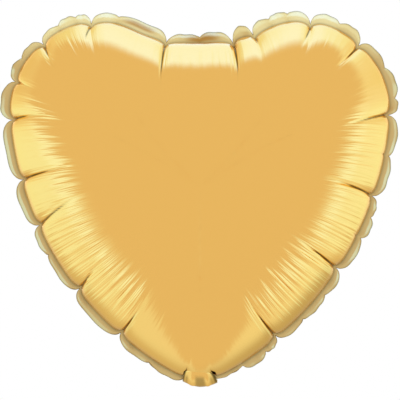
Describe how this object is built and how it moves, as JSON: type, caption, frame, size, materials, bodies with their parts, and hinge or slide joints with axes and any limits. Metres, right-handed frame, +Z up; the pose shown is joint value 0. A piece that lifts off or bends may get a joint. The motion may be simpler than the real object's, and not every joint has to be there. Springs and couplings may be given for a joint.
{
  "type": "heart-shaped foil balloon",
  "caption": "Filled heart-shaped foil balloon: two gold foil panels sealed at the edge, with a fold-up filling tail and a film valve inside.",
  "frame": {"origin": "the neck at the heart's lower tip, where a ribbon is tied round the root of the tail", "axes": "+Z up from the tip to the lobes, -Y towards the front panel, +X to the right seen from the front"},
  "size_m": [0.3878, 0.1892, 0.3624],
  "materials": {
    "front_foil": "mirror-bright gold metallised film",
    "back_foil": "mirror-bright gold metallised film",
    "sealed_edge": "heat-sealed gold film, slightly duller",
    "tail_foil": "gold metallised film, lightly creased",
    "valve_film": "clear thin film"
  },
  "bodies": {
    "envelope": {"front_panel": "front_foil", "back_panel": "back_foil", "seal_seam": "sealed_edge"},
    "tail": {"tail_front": "tail_foil", "tail_back": "tail_foil", "tail_seal_left": "sealed_edge", "tail_seal_right": "sealed_edge", "tail_valve_front": "valve_film", "tail_valve_back": "valve_film"},
    "valve_tongue": {"valve_front_film": "valve_film", "valve_back_film": "valve_film"}
  },
  "joints": [
    {"name": "tail_fold", "type": "hinge", "parent": "envelope", "child": "tail", "pos_m": [0, 0, 0], "axis": [-1, 0, 0], "range_deg": [0, 106.7]},
    {"name": "valve_tongue_swing", "type": "hinge", "parent": "envelope", "child": "valve_tongue", "pos_m": [0, 0, 0.013], "axis": [1, 0, 0], "range_deg": [0, 95.6]}
  ]
}
